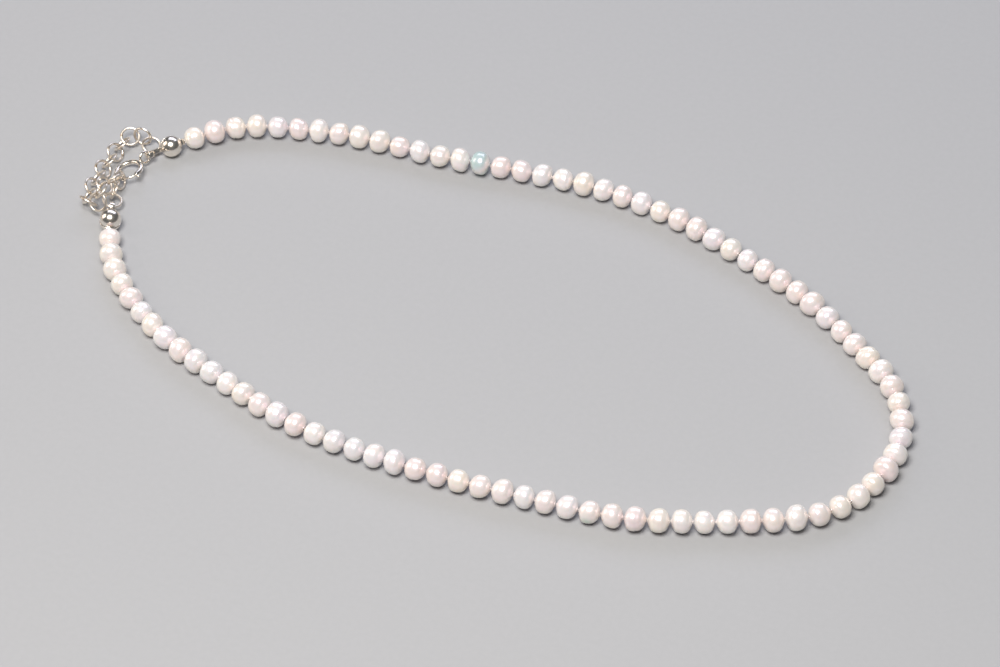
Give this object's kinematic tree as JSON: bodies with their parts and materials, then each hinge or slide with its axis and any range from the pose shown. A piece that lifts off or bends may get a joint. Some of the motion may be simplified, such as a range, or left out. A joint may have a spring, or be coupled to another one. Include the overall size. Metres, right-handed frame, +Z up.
{
  "type": "pearl necklace",
  "caption": "Single-strand pearl choker laid in a closed oval, with clamshell bead tips, a spring ring clasp and a chain extender.",
  "frame": {"origin": "centre of the whole piece's box at table height: the middle of the oval, on the surface it lies on", "axes": "+X along the oval away from the clasp, +Y across the oval to the side whose pearls start at the clasp bead tip, +Z up from the table"},
  "size_m": [0.1714, 0.0834, 0.0066],
  "materials": {
    "pearl": "lustrous nacre",
    "silver": "polished sterling silver",
    "thread": "waxed stringing thread"
  },
  "bodies": {
    "pearls_01": {"pearls_01": "pearl"},
    "pearls_02": {"pearls_02": "pearl"},
    "pearls_03": {"pearls_03": "pearl"},
    "pearls_04": {"pearls_04": "pearl"},
    "pearls_05": {"pearls_05": "pearl"},
    "pearls_06": {"pearls_06": "pearl"},
    "pearls_07": {"pearls_07": "pearl"},
    "pearls_08": {"pearls_08": "pearl"},
    "pearls_09": {"pearls_09": "pearl"},
    "pearls_10": {"pearls_10": "pearl"},
    "pearls_11": {"pearls_11": "pearl"},
    "pearls_12": {"pearls_12": "pearl"},
    "pearls_13": {"pearls_13": "pearl"},
    "pearls_14": {"pearls_14": "pearl"},
    "pearls_15": {"pearls_15": "pearl", "thread": "thread"},
    "pearls_16": {"pearls_16": "pearl"},
    "pearls_17": {"pearls_17": "pearl"},
    "pearls_18": {"pearls_18": "pearl"},
    "pearls_19": {"pearls_19": "pearl"},
    "pearls_20": {"pearls_20": "pearl"},
    "pearls_21": {"pearls_21": "pearl"},
    "pearls_22": {"pearls_22": "pearl"},
    "pearls_23": {"pearls_23": "pearl"},
    "pearls_24": {"pearls_24": "pearl"},
    "pearls_25": {"pearls_25": "pearl"},
    "pearls_26": {"pearls_26": "pearl"},
    "pearls_27": {"pearls_27": "pearl"},
    "pearls_28": {"pearls_28": "pearl"},
    "pearls_29": {"pearls_29": "pearl"},
    "clasp_tip": {"clasp_bead_tip": "silver", "clasp_crimp_bead": "silver"},
    "extender_tip": {"extender_bead_tip": "silver", "extender_crimp_bead": "silver"},
    "spring_ring": {"spring_ring_tube": "silver", "spring_ring_loop": "silver", "spring_ring_spring": "silver"},
    "ring_bolt": {"spring_ring_bolt": "silver"},
    "link_01": {"extender_link_01": "silver"},
    "link_02": {"extender_link_02": "silver"},
    "link_03": {"extender_link_03": "silver"},
    "link_04": {"extender_link_04": "silver"},
    "link_05": {"extender_link_05": "silver"},
    "link_06": {"extender_link_06": "silver"},
    "link_07": {"extender_link_07": "silver"},
    "link_08": {"extender_link_08": "silver"},
    "link_09": {"extender_link_09": "silver"},
    "link_10": {"extender_link_10": "silver"},
    "link_11": {"extender_link_11": "silver"},
    "link_12": {"extender_link_12": "silver"},
    "link_13": {"extender_link_13": "silver"},
    "link_14": {"extender_link_14": "silver"},
    "link_15": {"extender_link_15": "silver"},
    "link_16": {"extender_link_16": "silver"},
    "link_17": {"extender_link_17": "silver"},
    "link_18": {"extender_link_18": "silver"}
  },
  "joints": [
    {"name": "strand_flex_15", "type": "hinge", "parent": "pearls_15", "child": "pearls_16", "pos_m": [0.08164, -0.00916, 0.00235], "axis": [0, 0, 1], "range_deg": [-1.8, 1.8], "deforming": ["thread"]},
    {"name": "strand_flex_14", "type": "hinge", "parent": "pearls_15", "child": "pearls_14", "pos_m": [0.08306, 0.00298, 0.00235], "axis": [0, 0, 1], "range_deg": [-2.33, 2.33]},
    {"name": "strand_flex_13", "type": "hinge", "parent": "pearls_14", "child": "pearls_13", "pos_m": [0.0779, 0.01439, 0.00235], "axis": [0, 0, 1], "range_deg": [-2.56, 2.56]},
    {"name": "strand_flex_12", "type": "hinge", "parent": "pearls_13", "child": "pearls_12", "pos_m": [0.06804, 0.02166, 0.00235], "axis": [0, 0, 1], "range_deg": [-2.42, 2.42]},
    {"name": "strand_flex_11", "type": "hinge", "parent": "pearls_12", "child": "pearls_11", "pos_m": [0.05714, 0.0278, 0.00235], "axis": [0, 0, 1], "range_deg": [-1.71, 1.71]},
    {"name": "strand_flex_10", "type": "hinge", "parent": "pearls_11", "child": "pearls_10", "pos_m": [0.04554, 0.03231, 0.00235], "axis": [0, 0, 1], "range_deg": [-0.3974, 0.3974]},
    {"name": "strand_flex_09", "type": "hinge", "parent": "pearls_10", "child": "pearls_09", "pos_m": [0.03379, 0.03577, 0.00235], "axis": [0, 0, 1], "range_deg": [-1.24, 1.24]},
    {"name": "strand_flex_08", "type": "hinge", "parent": "pearls_09", "child": "pearls_08", "pos_m": [0.02146, 0.03852, 0.00235], "axis": [0, 0, 1], "range_deg": [-2.81, 2.81]},
    {"name": "strand_flex_07", "type": "hinge", "parent": "pearls_08", "child": "pearls_07", "pos_m": [0.00914, 0.03938, 0.00235], "axis": [0, 0, 1], "range_deg": [-3.94, 3.94]},
    {"name": "strand_flex_06", "type": "hinge", "parent": "pearls_07", "child": "pearls_06", "pos_m": [-0.00332, 0.0383, 0.00235], "axis": [0, 0, 1], "range_deg": [-4.26, 4.26]},
    {"name": "strand_flex_05", "type": "hinge", "parent": "pearls_06", "child": "pearls_05", "pos_m": [-0.01569, 0.03618, 0.00235], "axis": [0, 0, 1], "range_deg": [-3.57, 3.57]},
    {"name": "strand_flex_04", "type": "hinge", "parent": "pearls_05", "child": "pearls_04", "pos_m": [-0.02772, 0.03401, 0.00235], "axis": [0, 0, 1], "range_deg": [-2.08, 2.08]},
    {"name": "strand_flex_03", "type": "hinge", "parent": "pearls_04", "child": "pearls_03", "pos_m": [-0.04023, 0.03269, 0.00235], "axis": [0, 0, 1], "range_deg": [-0.1463, 0.1463]},
    {"name": "strand_flex_02", "type": "hinge", "parent": "pearls_03", "child": "pearls_02", "pos_m": [-0.05227, 0.03001, 0.00235], "axis": [0, 0, 1], "range_deg": [-1.89, 1.89]},
    {"name": "strand_flex_01", "type": "hinge", "parent": "pearls_02", "child": "pearls_01", "pos_m": [-0.06388, 0.02559, 0.00235], "axis": [0, 0, 1], "range_deg": [-3.51, 3.51]},
    {"name": "strand_flex_16", "type": "hinge", "parent": "pearls_16", "child": "pearls_17", "pos_m": [0.07457, -0.01916, 0.00235], "axis": [0, 0, 1], "range_deg": [-2.5, 2.5]},
    {"name": "strand_flex_17", "type": "hinge", "parent": "pearls_17", "child": "pearls_18", "pos_m": [0.06377, -0.02545, 0.00235], "axis": [0, 0, 1], "range_deg": [-2.11, 2.11]},
    {"name": "strand_flex_18", "type": "hinge", "parent": "pearls_18", "child": "pearls_19", "pos_m": [0.05265, -0.03055, 0.00235], "axis": [0, 0, 1], "range_deg": [-1.18, 1.18]},
    {"name": "strand_flex_19", "type": "hinge", "parent": "pearls_19", "child": "pearls_20", "pos_m": [0.0406, -0.0343, 0.00235], "axis": [0, 0, 1], "range_deg": [-0.3318, 0.3318]},
    {"name": "strand_flex_20", "type": "hinge", "parent": "pearls_20", "child": "pearls_21", "pos_m": [0.02834, -0.03622, 0.00235], "axis": [0, 0, 1], "range_deg": [-2.02, 2.02]},
    {"name": "strand_flex_21", "type": "hinge", "parent": "pearls_21", "child": "pearls_22", "pos_m": [0.01601, -0.03788, 0.00235], "axis": [0, 0, 1], "range_deg": [-3.39, 3.39]},
    {"name": "strand_flex_22", "type": "hinge", "parent": "pearls_22", "child": "pearls_23", "pos_m": [0.00347, -0.03899, 0.00235], "axis": [0, 0, 1], "range_deg": [-4.14, 4.14]},
    {"name": "strand_flex_23", "type": "hinge", "parent": "pearls_23", "child": "pearls_24", "pos_m": [-0.00873, -0.0393, 0.00235], "axis": [0, 0, 1], "range_deg": [-4.04, 4.04]},
    {"name": "strand_flex_24", "type": "hinge", "parent": "pearls_24", "child": "pearls_25", "pos_m": [-0.02125, -0.03837, 0.00235], "axis": [0, 0, 1], "range_deg": [-3.06, 3.06]},
    {"name": "strand_flex_25", "type": "hinge", "parent": "pearls_25", "child": "pearls_26", "pos_m": [-0.03334, -0.03556, 0.00235], "axis": [0, 0, 1], "range_deg": [-1.34, 1.34]},
    {"name": "strand_flex_26", "type": "hinge", "parent": "pearls_26", "child": "pearls_27", "pos_m": [-0.04526, -0.03213, 0.00235], "axis": [0, 0, 1], "range_deg": [-0.71, 0.71]},
    {"name": "strand_flex_27", "type": "hinge", "parent": "pearls_27", "child": "pearls_28", "pos_m": [-0.05686, -0.02713, 0.00235], "axis": [0, 0, 1], "range_deg": [-2.66, 2.66]},
    {"name": "strand_flex_28", "type": "hinge", "parent": "pearls_28", "child": "pearls_29", "pos_m": [-0.06696, -0.02019, 0.00235], "axis": [0, 0, 1], "range_deg": [-4.04, 4.04]},
    {"name": "clasp_tip_swing", "type": "hinge", "parent": "pearls_01", "child": "clasp_tip", "pos_m": [-0.07313, 0.01699, 0.00215], "axis": [0, 0, 1], "range_deg": [-0.63, 0.63]},
    {"name": "spring_ring_swing", "type": "hinge", "parent": "clasp_tip", "child": "spring_ring", "pos_m": [-0.07779, 0.01068, 0.00195], "axis": [0, 0, 1], "range_deg": [-0.79, 0.79]},
    {"name": "extender_tip_swing", "type": "hinge", "parent": "pearls_29", "child": "extender_tip", "pos_m": [-0.07458, -0.01026, 0.0021], "axis": [0, 0, 1], "range_deg": [-0.85, 0.85]},
    {"name": "link_01_swing", "type": "hinge", "parent": "extender_tip", "child": "link_01", "pos_m": [-0.07772, -0.00361, 0.00195], "axis": [0, 0, 1], "range_deg": [-0.95, 0.95]},
    {"name": "link_02_swing", "type": "hinge", "parent": "link_01", "child": "link_02", "pos_m": [-0.0786, -0.00139, 0.00195], "axis": [0, 0, 1], "range_deg": [-0.97, 0.97]},
    {"name": "link_03_swing", "type": "hinge", "parent": "link_02", "child": "link_03", "pos_m": [-0.07932, 0.0013, 0.00195], "axis": [0, 0, 1], "range_deg": [-0.96, 0.96]},
    {"name": "trigger", "type": "hinge", "parent": "spring_ring", "child": "ring_bolt", "pos_m": [-0.07945, 0.00599, 0.00161], "axis": [-0.2851, 0.0169, 0.9584], "range_deg": [0, 36], "stiffness_Nm_per_rad": 0.002, "springref_deg": -17.19, "deforming": ["spring_ring_spring"]},
    {"name": "link_04_swing", "type": "hinge", "parent": "link_03", "child": "link_04", "pos_m": [-0.07958, 0.00182, 0.00287], "axis": [0, 0, 1], "range_deg": [-0.2, 3]},
    {"name": "link_05_swing", "type": "hinge", "parent": "link_04", "child": "link_05", "pos_m": [-0.07999, -0.00022, 0.0039], "axis": [0, 0, 1], "range_deg": [-0.2, 5]},
    {"name": "link_06_swing", "type": "hinge", "parent": "link_05", "child": "link_06", "pos_m": [-0.0801, -0.00252, 0.0045], "axis": [0, 0, 1], "range_deg": [-0.2, 6]},
    {"name": "link_07_swing", "type": "hinge", "parent": "link_06", "child": "link_07", "pos_m": [-0.07971, -0.00457, 0.00425], "axis": [0, 0, 1], "range_deg": [-0.2, 8]},
    {"name": "link_08_swing", "type": "hinge", "parent": "link_07", "child": "link_08", "pos_m": [-0.08076, -0.00542, 0.00305], "axis": [0, 0, 1], "range_deg": [-0.2, 10]},
    {"name": "link_09_swing", "type": "hinge", "parent": "link_08", "child": "link_09", "pos_m": [-0.08246, -0.00426, 0.0021], "axis": [0, 0, 1], "range_deg": [-0.2, 20]},
    {"name": "link_10_swing", "type": "hinge", "parent": "link_09", "child": "link_10", "pos_m": [-0.0833, -0.00201, 0.0016], "axis": [0, 0, 1], "range_deg": [-0.2, 20]},
    {"name": "link_11_swing", "type": "hinge", "parent": "link_10", "child": "link_11", "pos_m": [-0.08374, 0.00044, 0.0016], "axis": [0, 0, 1], "range_deg": [-0.2, 20]},
    {"name": "link_12_swing", "type": "hinge", "parent": "link_11", "child": "link_12", "pos_m": [-0.08403, 0.00294, 0.0016], "axis": [0, 0, 1], "range_deg": [-0.2, 20]},
    {"name": "link_13_swing", "type": "hinge", "parent": "link_12", "child": "link_13", "pos_m": [-0.08417, 0.00544, 0.0016], "axis": [0, 0, 1], "range_deg": [-0.2, 20]},
    {"name": "link_14_swing", "type": "hinge", "parent": "link_13", "child": "link_14", "pos_m": [-0.0842, 0.00794, 0.0016], "axis": [0, 0, 1], "range_deg": [-0.3, 20]},
    {"name": "link_15_swing", "type": "hinge", "parent": "link_14", "child": "link_15", "pos_m": [-0.08419, 0.01044, 0.00165], "axis": [0, 0, 1], "range_deg": [-0.3, 20]},
    {"name": "link_16_swing", "type": "hinge", "parent": "link_15", "child": "link_16", "pos_m": [-0.08388, 0.01289, 0.00175], "axis": [0, 0, 1], "range_deg": [-3, 20]},
    {"name": "link_17_swing", "type": "hinge", "parent": "link_16", "child": "link_17", "pos_m": [-0.08248, 0.01454, 0.0019], "axis": [0, 0, 1], "range_deg": [-6, 20]},
    {"name": "link_18_swing", "type": "hinge", "parent": "link_17", "child": "link_18", "pos_m": [-0.08018, 0.01463, 0.00155], "axis": [0, 0, 1], "range_deg": [-6, 20]}
  ],
  "couplings": [
    {"joint": "strand_flex_14", "follows": "strand_flex_15", "ratio": -0.98766},
    {"joint": "strand_flex_13", "follows": "strand_flex_15", "ratio": -1.0881},
    {"joint": "strand_flex_12", "follows": "strand_flex_15", "ratio": -1.0271},
    {"joint": "strand_flex_11", "follows": "strand_flex_15", "ratio": -0.72415},
    {"joint": "strand_flex_10", "follows": "strand_flex_15", "ratio": -0.16171},
    {"joint": "strand_flex_09", "follows": "strand_flex_15", "ratio": 0.52245},
    {"joint": "strand_flex_08", "follows": "strand_flex_15", "ratio": 1.1936},
    {"joint": "strand_flex_07", "follows": "strand_flex_15", "ratio": 1.6781},
    {"joint": "strand_flex_06", "follows": "strand_flex_15", "ratio": 1.8164},
    {"joint": "strand_flex_05", "follows": "strand_flex_15", "ratio": 1.5213},
    {"joint": "strand_flex_04", "follows": "strand_flex_15", "ratio": 0.88443},
    {"joint": "strand_flex_03", "follows": "strand_flex_15", "ratio": 0.054106},
    {"joint": "strand_flex_02", "follows": "strand_flex_15", "ratio": -0.80034},
    {"joint": "strand_flex_01", "follows": "strand_flex_15", "ratio": -1.4958},
    {"joint": "strand_flex_16", "follows": "strand_flex_15", "ratio": 1.0617},
    {"joint": "strand_flex_17", "follows": "strand_flex_15", "ratio": 0.89425},
    {"joint": "strand_flex_18", "follows": "strand_flex_15", "ratio": 0.49609},
    {"joint": "strand_flex_19", "follows": "strand_flex_15", "ratio": -0.13362},
    {"joint": "strand_flex_20", "follows": "strand_flex_15", "ratio": -0.85653},
    {"joint": "strand_flex_21", "follows": "strand_flex_15", "ratio": -1.4435},
    {"joint": "strand_flex_22", "follows": "strand_flex_15", "ratio": -1.7633},
    {"joint": "strand_flex_23", "follows": "strand_flex_15", "ratio": -1.7239},
    {"joint": "strand_flex_24", "follows": "strand_flex_15", "ratio": -1.3032},
    {"joint": "strand_flex_25", "follows": "strand_flex_15", "ratio": -0.56597},
    {"joint": "strand_flex_26", "follows": "strand_flex_15", "ratio": 0.29712},
    {"joint": "strand_flex_27", "follows": "strand_flex_15", "ratio": 1.1294},
    {"joint": "strand_flex_28", "follows": "strand_flex_15", "ratio": 1.7208},
    {"joint": "clasp_tip_swing", "follows": "strand_flex_15", "ratio": -0.26072},
    {"joint": "spring_ring_swing", "follows": "strand_flex_15", "ratio": -0.32948},
    {"joint": "extender_tip_swing", "follows": "strand_flex_15", "ratio": 0.35558},
    {"joint": "link_01_swing", "follows": "strand_flex_15", "ratio": 0.39949},
    {"joint": "link_02_swing", "follows": "strand_flex_15", "ratio": 0.40556},
    {"joint": "link_03_swing", "follows": "strand_flex_15", "ratio": 0.40262}
  ]
}
